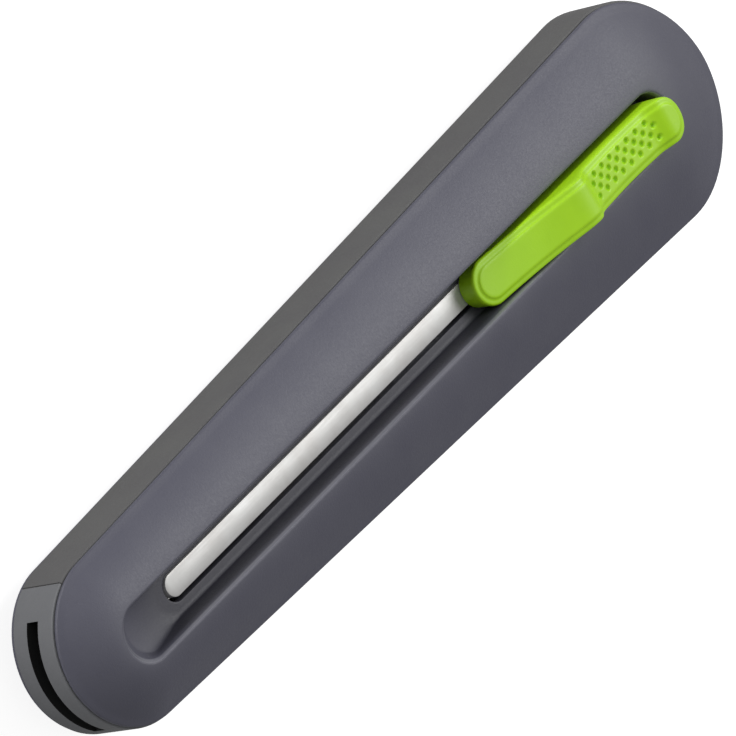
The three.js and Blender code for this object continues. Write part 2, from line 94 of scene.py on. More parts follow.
RIM_HALF = 4.4
RIM_FRONT, RIM_REAR = nose_tip - 8.7, rear_tip + 16.2
RECESS_DEPTH = 5.0
RECESS_DRAFT = 0.45
RAMP_LENGTH = 10.5
TUB_WALL = 1.6
FLOOR_HALF = RIM_HALF - RECESS_DRAFT
FLOOR_FRONT = RIM_FRONT - RAMP_LENGTH
# the slot is wider on the left of the rail, where the slider's web passes
SLOT_LEFT, SLOT_RIGHT = 2.4, -1.95
SLOT_FRONT, SLOT_REAR = FLOOR_FRONT - 3.4, RIM_REAR + 5.0
FLAT_HALF, FLAT_MARGIN = 5.0, 10.5  # the flat that the knife lies on
BAND_EDGE = 0.35  # how far back the band's outer edges are rounded
floor_height = rim_height - RECESS_DEPTH
floor_under = floor_height - WALL

# ------------------------------------------------------------------ outlines and profiles


def oval(x, end, half, full, start, stop, steps):
    """Points of an oval end: x + end |cos a|^(2/full), half |sin a|^(2/full), with their signs."""
    angle = np.linspace(start, stop, steps)
    c, s = np.cos(angle), np.sin(angle)
    return np.stack([
        x + end * np.sign(c) * np.abs(c) ** (2 / full),
        half * np.sign(s) * np.abs(s) ** (2 / full),
    ], axis=1)


def run(a, b, steps):
    """Evenly spaced points between a and b, without the two ends: a + (b - a) share."""
    share = np.linspace(0, 1, steps + 2)[1:-1, None]
    return a + (b - a) * share


def outline(front, rear, nose, back, arc=44, side=60, opened_at=None):
    """Plan of a tapered stadium, anticlockwise: two oval ends and the straight sides that touch both.
    A side touches an oval at the angle a where tan a = (half / (end taper))^(full / (2 full - 2)).

    nose and back are (half width, end length, fullness). With opened_at the outline is a path
    that runs from that x on the left of the nose, round the rear, to the same x on the right.
    """
    (nose_half, nose_end, nose_full), (rear_half, rear_end, rear_full) = nose, back
    nose_x, rear_x = front - nose_end, rear + rear_end
    taper = (rear_half - nose_half) / (nose_x - rear_x)

    def touch(end, half, full):
        if taper <= 0:
            return math.pi / 2
        return math.atan((half / (end * taper)) ** (full / (2 * full - 2)))

    at_nose, at_rear = touch(nose_end, nose_half, nose_full), touch(rear_end, rear_half, rear_full)
    rear_arc = oval(rear_x, rear_end, rear_half, rear_full, at_rear, 2 * math.pi - at_rear, arc)
    if opened_at is None:
        nose_arc = oval(nose_x, nose_end, nose_half, nose_full, -at_nose, at_nose, arc)
        left = run(nose_arc[-1], rear_arc[0], side)
        right = run(rear_arc[-1], nose_arc[0], side)
        return np.concatenate([nose_arc, left, rear_arc, right])
    opening = math.acos(((opened_at - nose_x) / nose_end) ** (nose_full / 2))
    first = oval(nose_x, nose_end, nose_half, nose_full, opening, at_nose, arc // 3)
    last = first[::-1] * [1, -1]
    return np.concatenate([
        first, run(first[-1], rear_arc[0], side), rear_arc, run(rear_arc[-1], last[0], side), last,
    ])


def stadium(front, rear, half, **steps):
    """A stadium with half-circle ends and parallel sides."""
    return outline(front, rear, (half, half, 2), (half, half, 2), **steps)


def body_outline(inset, **steps):
    """The body's outline drawn in by an inset, which comes off every half width and end length."""
    return outline(
        nose_tip - inset, rear_tip + inset,
        (NOSE_HALF - inset, NOSE_END - inset, NOSE_FULL),
        (REAR_HALF - inset, REAR_END - inset, REAR_FULL), **steps,
    )


def rounded(corners, steps=5, closed=False):
    """A polyline through (across, height, radius) corners, each rounded by a quadratic curve
    that starts and ends its radius away from the corner."""
    corners = np.array(corners, float)
    spots, radii = corners[:, :2], corners[:, 2]
    share = np.linspace(0, 1, steps)[:, None]
    out = []
    for i, (spot, radius) in enumerate(zip(spots, radii)):
        inner = closed or 0 < i < len(spots) - 1
        if radius == 0 or not inner:
            out.append(spot[None])
            continue
        before, after = spots[i - 1] - spot, spots[(i + 1) % len(spots)] - spot
        start = spot + before * min(0.5, radius / np.linalg.norm(before))
        stop = spot + after * min(0.5, radius / np.linalg.norm(after))
        out.append((1 - share) ** 2 * start + 2 * share * (1 - share) * spot + share ** 2 * stop)
    return np.concatenate(out)


def rings(profile, keys):
    """Carries a profile round the knife: each (across, height) point becomes a ring whose plan is
    interpolated between the key plans, a sorted list of (across, plan)."""
    across = np.array([key for key, _ in keys], float)
    plans = np.stack([plan for _, plan in keys])
    t = profile[:, 0]
    i = np.clip(np.searchsorted(across, t, side="right") - 1, 0, len(across) - 2)
    share = ((t - across[i]) / (across[i + 1] - across[i]))[:, None, None]
    plan = plans[i] * (1 - share) + plans[i + 1] * share
    height = np.broadcast_to(profile[:, 1, None, None], plan.shape[:2] + (1,))
    return np.concatenate([plan, height], axis=2)


def rise(share):
    """Share of the crown's height at a share of the way in from the edge: 1 - (1 - share)^power."""
    return 1 - (1 - share) ** CROWN_POWER


# ------------------------------------------------------------------ meshes


def grid_faces(rows, columns, wrap_rows=False, wrap_columns=True):
    """Quads of a grid stored row by row. They face out where rows rise and columns run anticlockwise."""
    row = np.arange(rows if wrap_rows else rows - 1)[:, None]
    column = np.arange(columns if wrap_columns else columns - 1)[None, :]
    above, beside = (row + 1) % rows, (column + 1) % columns
    corners = [
        row * columns + column, row * columns + beside,
        above * columns + beside, above * columns + column,
    ]
    return np.stack(np.broadcast_arrays(*corners), axis=-1).reshape(-1, 4).tolist()


def solid(name, shells, sharp=32):
    """A mesh object from shells of (points in mm, faces): doubles welded, faces turned outwards,
    and shaded smooth but for edges sharper than an angle."""
    points = np.concatenate([shell[0].reshape(-1, 3) for shell in shells])
    faces, start = [], 0
    for shell_points, shell_faces in shells:
        faces += [[start + corner for corner in face] for face in shell_faces]
        start += shell_points.size // 3
    mesh = bpy.data.meshes.new(name)
    mesh.from_pydata((points * MM).tolist(), [], faces)
    edit = bmesh.new()
    edit.from_mesh(mesh)
    bmesh.ops.remove_doubles(edit, verts=edit.verts, dist=2e-7)
    bmesh.ops.recalc_face_normals(edit, faces=edit.faces)
    edit.to_mesh(mesh)
    edit.free()
    mesh.shade_smooth()
    mesh.set_sharp_from_angle(angle=math.radians(sharp))
    piece = bpy.data.objects.new(name, mesh)
    bpy.context.scene.collection.objects.link(piece)
    return piece


def at_height(plan, height):
    """A plan as a level ring of points."""
    return np.column_stack([plan, np.full(len(plan), height)])


def capped(levels, top=True):
    """A closed shell from rising rings, with a flat face over each end. The top needs none where
    the last ring has closed to a line."""
    rows, columns = levels.shape[:2]
    faces = grid_faces(rows, columns)
    last = (rows - 1) * columns
    faces.append(list(range(columns))[::-1])
    if top:
        faces.append(list(range(last, last + columns)))
    return levels, faces


def lathe(x, y, profile, steps=40):
    """A closed shell turned about an upright axis from (radius, height) points, bottom to top:
    x + radius cos a, y + radius sin a."""
    angle = np.linspace(0, 2 * math.pi, steps, endpoint=False)
    radius, height = profile[:, 0, None], profile[:, 1, None]
    levels = np.stack([
        x + radius * np.cos(angle), y + radius * np.sin(angle), height + 0 * angle,
    ], axis=-1)
    return capped(levels)


def bar(x, y, radius, low, high, edge=0.0, steps=40):
    """An upright round bar, its ends chamfered by edge."""
    profile = [(radius - edge, low), (radius, low + edge), (radius, high - edge), (radius - edge, high)]
    return lathe(x, y, np.array(profile if edge else profile[1:3]), steps)


def slab(low, high):
    """A rectangular block between two corners."""
    (x0, y0, z0), (x1, y1, z1) = low, high
    plan = np.array([(x0, y0), (x1, y0), (x1, y1), (x0, y1)], float)
    return capped(np.stack([at_height(plan, z0), at_height(plan, z1)]))


def carve(piece, shells, way="DIFFERENCE", sharp=32):
    """Cuts closed shells out of a closed piece, or joins them to it."""
    for number, shell in enumerate(shells):
        tool = solid(f"{piece.name}_tool_{number}", [shell])
        step = piece.modifiers.new("carve", "BOOLEAN")
        step.operation, step.solver, step.object = way, "EXACT", tool
        shape = bpy.data.meshes.new_from_object(
            piece.evaluated_get(bpy.context.evaluated_depsgraph_get())
        )
        piece.modifiers.clear()
        piece.data = shape
        bpy.data.objects.remove(tool)
    piece.data.shade_smooth()
    piece.data.set_sharp_from_angle(angle=math.radians(sharp))
    return piece


# ------------------------------------------------------------------ materials


def srgb(code):
    """Linear RGBA of an sRGB hex colour: value / 12.92 up to 0.04045, ((value + 0.055) / 1.055)^2.4
    above it."""
    value = np.array([int(code[i:i + 2], 16) for i in (1, 3, 5)]) / 255
    linear = np.where(value <= 0.04045, value / 12.92, ((value + 0.055) / 1.055) ** 2.4)
    return (*linear, 1.0)


def add(tree, kind, inputs=None, **settings):
    """Adds a node with its settings, and sets or links its inputs."""
    node = tree.nodes.new(kind)
    for name, value in settings.items():
        setattr(node, name, value)
    for name, value in (inputs or {}).items():
        if isinstance(value, bpy.types.NodeSocket):
            tree.links.new(value, node.inputs[name])
        else:
            node.inputs[name].default_value = value
    return node


def per(size):
    """Noise scale whose blobs are about a size in millimetres across: one over the size in metres."""
    return 1 / (size * MM)


def new_material(name, **fixed):
    """A material with a Principled shader whose fixed sockets are set, and the object's coordinates."""
    material = bpy.data.materials.new(name)
    material.use_nodes = True
    tree = material.node_tree
    tree.nodes.clear()
    sockets = {key.replace("_", " "): value for key, value in fixed.items()}
    shader = add(tree, "ShaderNodeBsdfPrincipled", sockets)
    add(tree, "ShaderNodeOutputMaterial", {"Surface": shader.outputs[0]})
    where = add(tree, "ShaderNodeTexCoord").outputs["Object"]
    return material, tree, shader, where


def join_up(tree, shader, colour, roughness, bumps):
    """Links the nodes that work out colour, roughness and relief to a material's shader."""
    tree.links.new(colour.outputs["Result"], shader.inputs["Base Color"])
    tree.links.new(roughness.outputs["Result"], shader.inputs["Roughness"])
    tree.links.new(bumps.outputs["Normal"], shader.inputs["Normal"])


# noise runs mostly from 0.3 to 0.7, which the map ranges below open out
LEAST, MOST = 0.3, 0.7


def glass_filled_nylon(name, colour, pale, roughness):
    """Glass-filled nylon, injection moulded in a spark-eroded mould: the shade drifts a little where
    the melt flowed and the fibres come near the skin, and an even grain breaks up the shine.
    The real grain is about 0.05 mm across; it is drawn 0.35 and 0.12 mm across so that it shows."""
    material, tree, shader, where = new_material(name, IOR=1.53)
    flow = add(tree, "ShaderNodeTexNoise", {
        "Vector": where, "Scale": per(9), "Detail": 4.0, "Roughness": 0.6,
    })
    grain = add(tree, "ShaderNodeTexNoise", {
        "Vector": where, "Scale": per(0.35), "Detail": 3.0, "Roughness": 0.6,
    })
    fine = add(tree, "ShaderNodeTexNoise", {"Vector": where, "Scale": per(0.12), "Detail": 2.0})
    share = add(tree, "ShaderNodeMapRange", {
        "Value": flow.outputs["Fac"], "From Min": LEAST, "From Max": MOST,
    })
    base = add(tree, "ShaderNodeMix", {
        "Factor": share.outputs["Result"], "A": srgb(colour), "B": srgb(pale),
    }, data_type="RGBA")
    dull = add(tree, "ShaderNodeMapRange", {
        "Value": grain.outputs["Fac"], "From Min": LEAST, "From Max": MOST,
        "To Min": roughness - 0.06, "To Max": roughness + 0.06,
    })
    coarse_relief = add(tree, "ShaderNodeBump", {"Height": grain.outputs["Fac"], "Distance": 0.03 * MM})
    relief = add(tree, "ShaderNodeBump", {
        "Height": fine.outputs["Fac"], "Distance": 0.012 * MM, "Normal": coarse_relief.outputs["Normal"],
    })
    join_up(tree, shader, base, dull, relief)
    return material


def paint_recess_shade_and_rim_highlight(material):
    """Adds two things to the front cover's nylon: painted shade that darkens the inside of the recess,
    and a painted highlight that makes the rounded rim paler, with a smoother finish there. Each share of
    the mix is a product of straight ramps along X, across Y, down Z and in the slope of the surface."""
    tree = material.node_tree
    shader = tree.nodes["Principled BSDF"]
    where = add(tree, "ShaderNodeTexCoord").outputs["Object"]
    spot = add(tree, "ShaderNodeSeparateXYZ", {"Vector": where})
    normal = add(tree, "ShaderNodeNewGeometry").outputs["Normal"]
    facing = add(tree, "ShaderNodeSeparateXYZ", {"Vector": normal})
    side = add(tree, "ShaderNodeMath", {0: spot.outputs["Y"]}, operation="ABSOLUTE")
    # each share runs from 0 to 1 between two places, in millimetres
    inside = add(tree, "ShaderNodeMapRange", {
        "Value": side.outputs["Value"],
        "From Min": (RIM_HALF + 0.1) * MM, "From Max": (RIM_HALF - 0.05) * MM,
    })
    deep = add(tree, "ShaderNodeMapRange", {
        "Value": spot.outputs["Z"],
        "From Min": (rim_height - 0.6) * MM, "From Max": (rim_height - 2.2) * MM,
    })
    behind_ramp = add(tree, "ShaderNodeMapRange", {
        "Value": spot.outputs["X"], "From Min": (RIM_FRONT - 2) * MM, "From Max": (FLOOR_FRONT - 2) * MM,
    })
    before_rear = add(tree, "ShaderNodeMapRange", {
        "Value": spot.outputs["X"], "From Min": (RIM_REAR - 1) * MM, "From Max": (RIM_REAR - 0.5) * MM,
    })
    low_inside = add(tree, "ShaderNodeMath", {
        0: inside.outputs["Result"], 1: deep.outputs["Result"],
    }, operation="MULTIPLY")
    lengthwise = add(tree, "ShaderNodeMath", {
        0: behind_ramp.outputs["Result"], 1: before_rear.outputs["Result"],
    }, operation="MULTIPLY")
    # recess: the share of painted shade, over the recess's floor and walls
    recess = add(tree, "ShaderNodeMath", {
        0: low_inside.outputs["Value"], 1: lengthwise.outputs["Value"],
    }, operation="MULTIPLY")
    # rim: the share where a painted highlight pales the rounded rim, and the roughness drops
    near_top = add(tree, "ShaderNodeMapRange", {
        "Value": spot.outputs["Z"],
        "From Min": (rim_height - 1.0) * MM, "From Max": (rim_height - 0.7) * MM,
    })
    leaning = add(tree, "ShaderNodeMapRange", {
        "Value": facing.outputs["Z"], "From Min": 0.86, "From Max": 0.7,
    })
    rim = add(tree, "ShaderNodeMath", {
        0: near_top.outputs["Result"], 1: leaning.outputs["Result"],
    }, operation="MULTIPLY")
    # painted shade: the inside of the recess is multiplied by a grey, standing in for the shadow there
    painted_recess_shade = add(tree, "ShaderNodeMix", {
        "Factor": recess.outputs["Value"], "A": shader.inputs["Base Color"].links[0].from_socket,
        "B": srgb("#c4c4c4"),
    }, data_type="RGBA", blend_type="MULTIPLY")
    # painted highlight: the rim fillet is mixed towards a pale grey, standing in for the softbox's gloss
    # on it
    painted_rim_highlight = add(tree, "ShaderNodeMix", {
        "Factor": rim.outputs["Value"], "A": painted_recess_shade.outputs["Result"], "B": srgb("#7c7c85"),
    }, data_type="RGBA")
    smoother = add(tree, "ShaderNodeMapRange", {
        "Value": rim.outputs["Value"], "To Min": 0.0, "To Max": -0.1,
    })
    roughness = add(tree, "ShaderNodeMath", {
        0: shader.inputs["Roughness"].links[0].from_socket, 1: smoother.outputs["Result"],
    }, operation="ADD")
    tree.links.new(painted_rim_highlight.outputs["Result"], shader.inputs["Base Color"])
    tree.links.new(roughness.outputs["Value"], shader.inputs["Roughness"])
    return material


def satin_abs(name, colour, deep, roughness=0.42):
    """ABS, injection moulded in a strong colour and a satin mould: a very fine grain, and a slightly
    deeper shade in soft patches 5 mm across. The grain is drawn 0.25 mm across; the real one is finer."""
    material, tree, shader, where = new_material(name, IOR=1.54)
    flow = add(tree, "ShaderNodeTexNoise", {"Vector": where, "Scale": per(5), "Detail": 3.0})
    grain = add(tree, "ShaderNodeTexNoise", {"Vector": where, "Scale": per(0.25), "Detail": 2.0})
    share = add(tree, "ShaderNodeMapRange", {
        "Value": flow.outputs["Fac"], "From Min": LEAST, "From Max": MOST,
    })
    base = add(tree, "ShaderNodeMix", {
        "Factor": share.outputs["Result"], "A": srgb(colour), "B": srgb(deep),
    }, data_type="RGBA")
    dull = add(tree, "ShaderNodeMapRange", {
        "Value": grain.outputs["Fac"], "From Min": LEAST, "From Max": MOST,
        "To Min": roughness - 0.05, "To Max": roughness + 0.05,
    })
    relief = add(tree, "ShaderNodeBump", {"Height": grain.outputs["Fac"], "Distance": 0.012 * MM})
    join_up(tree, shader, base, dull, relief)
    return material


def worked_metal(name, colour, dark, roughness, along=(1, 1, 1), metallic=1.0):
    """Metal that was brushed, turned or drawn: fine streaks 0.12 mm wide, in roughness and in height,
    stretched along the axes whose share in along is small, and duller patches 4 mm across."""
    material, tree, shader, where = new_material(name, Metallic=metallic)
    stretched = add(tree, "ShaderNodeMapping", {"Vector": where, "Scale": along}).outputs["Vector"]
    streak = add(tree, "ShaderNodeTexNoise", {
        "Vector": stretched, "Scale": per(0.12), "Detail": 3.0, "Roughness": 0.6,
    })
    patch = add(tree, "ShaderNodeTexNoise", {"Vector": where, "Scale": per(4), "Detail": 3.0})
    share = add(tree, "ShaderNodeMapRange", {
        "Value": patch.outputs["Fac"], "From Min": LEAST, "From Max": MOST,
    })
    base = add(tree, "ShaderNodeMix", {
        "Factor": share.outputs["Result"], "A": srgb(colour), "B": srgb(dark),
    }, data_type="RGBA")
    dull = add(tree, "ShaderNodeMapRange", {
        "Value": streak.outputs["Fac"], "From Min": LEAST, "From Max": MOST,
        "To Min": roughness - 0.08, "To Max": roughness + 0.08,
    })
    relief = add(tree, "ShaderNodeBump", {"Height": streak.outputs["Fac"], "Distance": 0.006 * MM})
    join_up(tree, shader, base, dull, relief)
    return material


def sintered_zirconia(name):
    """Zirconia, sintered and ground: a dense off-white ceramic with faint clouds 6 mm across, and fine
    grinding lines across the blade, drawn 0.1 mm apart."""
    material, tree, shader, where = new_material(name, IOR=2.1, Specular_IOR_Level=0.3)
    across = add(tree, "ShaderNodeMapping", {"Vector": where, "Scale": (1, 0.03, 1)}).outputs["Vector"]
    lines = add(tree, "ShaderNodeTexNoise", {"Vector": across, "Scale": per(0.1), "Detail": 2.0})
    cloud = add(tree, "ShaderNodeTexNoise", {"Vector": where, "Scale": per(6), "Detail": 3.0})
    share = add(tree, "ShaderNodeMapRange", {
        "Value": cloud.outputs["Fac"], "From Min": LEAST, "From Max": MOST,
    })
    base = add(tree, "ShaderNodeMix", {
        "Factor": share.outputs["Result"], "A": srgb("#f0eee6"), "B": srgb("#e6e3d8"),
    }, data_type="RGBA")
    dull = add(tree, "ShaderNodeMapRange", {
        "Value": lines.outputs["Fac"], "From Min": LEAST, "From Max": MOST, "To Min": 0.24, "To Max": 0.36,
    })
    relief = add(tree, "ShaderNodeBump", {"Height": lines.outputs["Fac"], "Distance": 0.004 * MM})
    join_up(tree, shader, base, dull, relief)
    return material


def moulded_polymer(name, colour, pale, roughness):
    """An inner moulding in plain nylon, acetal or rubber: a soft grain, drawn 0.3 mm across, and a
    shade that drifts over 3 mm."""
    material, tree, shader, where = new_material(name, IOR=1.5)
    grain = add(tree, "ShaderNodeTexNoise", {"Vector": where, "Scale": per(0.3), "Detail": 2.0})
    drift = add(tree, "ShaderNodeTexNoise", {"Vector": where, "Scale": per(3), "Detail": 2.0})
    share = add(tree, "ShaderNodeMapRange", {
        "Value": drift.outputs["Fac"], "From Min": LEAST, "From Max": MOST,
    })
    base = add(tree, "ShaderNodeMix", {
        "Factor": share.outputs["Result"], "A": srgb(colour), "B": srgb(pale),
    }, data_type="RGBA")
    dull = add(tree, "ShaderNodeMapRange", {
        "Value": grain.outputs["Fac"], "From Min": LEAST, "From Max": MOST,
        "To Min": roughness - 0.05, "To Max": roughness + 0.05,
    })
    relief = add(tree, "ShaderNodeBump", {"Height": grain.outputs["Fac"], "Distance": 0.02 * MM})
    join_up(tree, shader, base, dull, relief)
    return material


cover_nylon = glass_filled_nylon("slate_nylon", "#565663", "#5b5b67", 0.5)
# the front cover's nylon, with painted shade inside the recess and a painted highlight on its rim
nylon_with_painted_shade_and_highlight = paint_recess_shade_and_rim_highlight(glass_filled_nylon("slate_nylon_recessed", "#565663", "#5b5b67", 0.5))
band_nylon = glass_filled_nylon("dark_grey_nylon", "#5b5a5b", "#60605f", 0.6)
nose_nylon = glass_filled_nylon("mid_grey_nylon", "#6d6e71", "#737477", 0.55)
lime_abs = satin_abs("lime_abs", "#b4ec14", "#aee610")
rail_metal = worked_metal(
    "anodised_aluminium", "#ececea", "#dedcd9", 0.5, along=(0.02, 1, 1), metallic=0.35,
)
plated_steel = worked_metal("zinc_plated_steel", "#b4b6ba", "#a4a6a9", 0.35, along=(1, 1, 0.05))
spring_wire = worked_metal("music_wire", "#a9abb0", "#9a9ca0", 0.3)
zirconia = sintered_zirconia("zirconia")
carrier_nylon = moulded_polymer("black_nylon", "#2c2d31", "#303136", 0.55)
acetal = moulded_polymer("natural_acetal", "#e4e2da", "#f0eee6", 0.45)
bumper_rubber = moulded_polymer("nitrile_rubber", "#1b1b1d", "#1e1e20", 0.85)
# near black: painted shade for the inside of the nose's mouth
mouth_painted_shade = moulded_polymer("mouth_painted_shade_black", "#0c0c0d", "#0e0e0f", 0.8)

# ------------------------------------------------------------------ placing pieces


def place(piece, finish, body, slot, *nodes):
    """Gives a piece its finish and its body, and hides the CAD nodes that it stands for. slot is not used.
    """
    piece.data.materials.clear()
    piece.data.materials.append(finish)
    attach(piece, body)
    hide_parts(*nodes)
    return piece


def dress(node, finish):
    """Gives a CAD node that keeps its own mesh a finish."""
    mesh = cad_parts[node].data
    mesh.materials.clear()
    mesh.materials.append(finish)


# ------------------------------------------------------------------ covers

# a cover's profile is drawn against a coordinate that runs from its outer edge inwards, then back
ACROSS_RIM, ACROSS_BELLY, ACROSS_FLOOR, ACROSS_SLOT = 11.0, 11.5, 12.0, 13.0
ACROSS_TUB_LOW, ACROSS_TUB_HIGH, ACROSS_INNER_EDGE = 14.0, 15.0, 26.0
LIP_HEIGHT = 0.45
RAMP_HOLLOW = 2.4  # how far the ramp has come in from the rim half way down


def crown_profile(base, height, lip, steps=26):
    """The lip at a cover's edge and its crown, base + height rise(share), from the edge to the rim, as
    (across, height, radius) corners. height may be negative, for the cover underneath."""
    up = math.copysign(1, height)
    shares = np.linspace(0.0, 1.0, steps)[1:-1] ** 1.15
    crown_corners = [(ACROSS_RIM * s, base + height * rise(s), 0) for s in shares if s > 0.1]
    return [(lip, base, 0.08), (lip, base + up * LIP_HEIGHT, 0.35), *crown_corners]


def front_cover():
    """The front cover as one profile carried right round: edge lip, crown, rim, recess wall, floor,
    the slot round the rail, and the underside back to the edge."""
    rim = stadium(RIM_FRONT, RIM_REAR, RIM_HALF)
    # the ramp at the nose end is hollow: half way down it is still close to the rim
    belly = stadium(RIM_FRONT - RAMP_HOLLOW, RIM_REAR + RECESS_DRAFT / 2, RIM_HALF - RECESS_DRAFT / 2)
    floor = stadium(FLOOR_FRONT, RIM_REAR + RECESS_DRAFT, FLOOR_HALF)
    slot_middle = [0, (SLOT_LEFT + SLOT_RIGHT) / 2]
    slot = stadium(SLOT_FRONT, SLOT_REAR, (SLOT_LEFT - SLOT_RIGHT) / 2) + slot_middle
    tub_low = stadium(FLOOR_FRONT + 2 * TUB_WALL, RIM_REAR - TUB_WALL, FLOOR_HALF + TUB_WALL)
    tub_high = stadium(RIM_FRONT + TUB_WALL, RIM_REAR - TUB_WALL, RIM_HALF + TUB_WALL)
    keys = [
        (0, body_outline(0)), (ACROSS_RIM, rim), (ACROSS_BELLY, belly), (ACROSS_FLOOR, floor),
        (ACROSS_SLOT, slot), (ACROSS_TUB_LOW, tub_low), (ACROSS_TUB_HIGH, tub_high),
        (ACROSS_INNER_EDGE, body_outline(WALL)),
    ]
    inner = crown - WALL
    under = [
        (ACROSS_INNER_EDGE - ACROSS_RIM * s, cover_base + inner * rise(s), 0)
        for s in np.linspace(0.93, 0, 12)
    ]
    corners = crown_profile(cover_base, crown, SEAM_STEP) + [
        (ACROSS_RIM, rim_height, 0.8),
        (ACROSS_BELLY, rim_height - RECESS_DEPTH / 2, 0.3),
        (ACROSS_FLOOR, floor_height, 0.5),
        (ACROSS_SLOT, floor_height, 0.12),
        (ACROSS_SLOT, floor_under, 0.1),
        (ACROSS_TUB_LOW, floor_under, 0.3),
        (ACROSS_TUB_HIGH, cover_base + inner * 0.98, 0.5),
        *under,
    ]
    levels = rings(rounded(corners, closed=True), keys)
    shell = levels, grid_faces(levels.shape[0], levels.shape[1], wrap_rows=True)
    return solid("front_cover_skin", [shell])


def rear_cover():
    """The rear cover: the same lip and crown turned down, round a long flat, with its inner side."""
    flat = stadium(nose_tip - FLAT_MARGIN, rear_tip + FLAT_MARGIN, FLAT_HALF)
    within, inner_edge = ACROSS_RIM + 0.01, 2 * ACROSS_RIM
    keys = [(0, body_outline(0)), (ACROSS_RIM, flat), (within, flat), (inner_edge, body_outline(WALL))]
    depth = back_base - back_low[2]
    inner = depth - WALL
    corners = [(within, back_base - inner, 0)]
    corners += [
        (inner_edge - ACROSS_RIM * s, back_base - inner * rise(s), 0) for s in np.linspace(0.95, 0, 12)
    ]
    corners += crown_profile(back_base, -depth, SEAM_STEP)
    corners += [(ACROSS_RIM, back_low[2], 0)]
    levels = rings(rounded(corners), keys)
    return solid("rear_cover_skin", [capped(levels)])


front = front_cover()
back = rear_cover()
# the front cover takes the nylon with the painted recess shade and the painted rim highlight
place(front, nylon_with_painted_shade_and_highlight, "body", "cover_nylon", "front_cover")
place(back, cover_nylon, "body", "cover_nylon", "rear_cover")

# ------------------------------------------------------------------ band and nose


def centre_band():
    """The band round the knife's edge: a rounded section carried along the outline from seam to seam."""
    low, high = band_low[2], band_high[2]
    section = rounded([
        (0, low, BAND_EDGE), (0, high, BAND_EDGE), (WALL, high, 0.2), (WALL, low, 0.2),
    ], closed=True)
    levels = np.stack([
        at_height(body_outline(inset, opened_at=band_high[0]), height) for inset, height in section
    ])
    rows, columns = levels.shape[:2]
    faces = grid_faces(rows, columns, wrap_rows=True, wrap_columns=False)
    faces.append([row * columns for row in range(rows)])
    faces.append([row * columns + columns - 1 for row in range(rows)][::-1])
    return solid("centre_band", [(levels, faces)])


MOUTH_HALF, MOUTH_GAP = 9.3, 1.2  # half the blade's mouth, across and upright


def nose_plan(inset, steps=72):
    """The front of the body's outline, closed by a straight line where the nose piece ends. The oval
    meets that line at the angle a where cos a = ((x - middle of the oval) / end)^(full / 2)."""
    nose_x, end, half = nose_tip - NOSE_END, NOSE_END - inset, NOSE_HALF - inset
    opening = math.acos(((nose_low[0] - nose_x) / end) ** (NOSE_FULL / 2))
    arc = oval(nose_x, end, half, NOSE_FULL, -opening, opening, steps)
    return np.concatenate([arc, run(arc[-1], arc[0], 12)])


def nose_piece():
    """The nose piece: a solid front to the band, with the blade's mouth cut through it."""
    low, high = nose_low[2], nose_high[2]
    profile = rounded([(0.6, low, 0), (0, low, BAND_EDGE), (0, high, BAND_EDGE), (0.6, high, 0)])
    levels = np.stack([at_height(nose_plan(inset), height) for inset, height in profile])
    nose = solid("slotted_nose", [capped(levels)])
    mouth = slab(
        (nose_low[0] - 1, -MOUTH_HALF, middle - MOUTH_GAP),
        (nose_tip + 1, MOUTH_HALF, middle + MOUTH_GAP),
    )
    return carve(nose, [mouth])


place(centre_band(), band_nylon, "body", "band_nylon", "centre_frame")
nose = place(nose_piece(), nose_nylon, "body", "band_nylon", "nose_piece")

# painted shade: the mouth's inside faces, which don't face along the knife, take a second finish, near
# black, standing in for the shadow inside the slot
nose.data.materials.append(mouth_painted_shade)
centres = np.empty(3 * len(nose.data.polygons))
nose.data.polygons.foreach_get("center", centres)
x, y, z = centres.reshape(-1, 3).T / MM
normals = np.empty(3 * len(nose.data.polygons))
nose.data.polygons.foreach_get("normal", normals)
faces_sideways = np.abs(normals.reshape(-1, 3)[:, 0]) < 0.01
in_mouth = (
    faces_sideways & (np.abs(z - middle) < MOUTH_GAP + 0.02) & (np.abs(y) < MOUTH_HALF + 0.02)
    & (x > nose_low[0] + 0.05)
)
nose.data.polygons.foreach_set("material_index", in_mouth.astype(np.int32))

# ------------------------------------------------------------------ rail and slider

RAIL_FLANGE = 0.6
RAIL_END_GAP = 0.6  # how far the strip stops short of the slot's ends


def guide_rail():
    """The rail: a strip with round ends and eased top edges, on a longer flange under the floor."""
    half = (rail_high[1] - rail_low[1]) / 2
    flange = stadium(rail_high[0], rail_low[0], half)
    flange_low, top = rail_low[2], rail_high[2]
    flange_top = flange_low + RAIL_FLANGE

    def strip(inset):
        front, rear = SLOT_FRONT - RAIL_END_GAP - inset, SLOT_REAR + RAIL_END_GAP + inset
        return stadium(front, rear, half - inset)

    steps = [
        (flange, flange_low), (flange, flange_top), (strip(0), flange_top),
        (strip(0), top - 0.14), (strip(0.04), top - 0.05), (strip(0.14), top),
    ]
    levels = np.stack([at_height(plan, z) for plan, z in steps])
    return solid("rail_strip", [capped(levels)])


# side view of the slider's top: (behind its front, above the rim, corner radius)
SLIDER_TOP = [
    (0, -1.5, 0), (4, -1.15, 3), (9, -0.35, 4), (16, 1.15, 4), (23.2, 3.6, 1.6), (25.0, 3.6, 0.7),
    (27.0, 2.1, 1.0), (35.5, 1.5, 5), (43.6, 2.1, 1.2), (46.0, 3.6, 1.0), (48.6, 3.6, 1.4), (49.9, 3.3, 0),
]
DIMPLE_PITCH, DIMPLE_ROW, DIMPLE_RADIUS, DIMPLE_DEPTH = 2.33, 1.06, 0.62, 0.55
DIMPLE_FIRST, DIMPLE_ROWS, DIMPLE_COLUMNS = 27.65, 4, 8
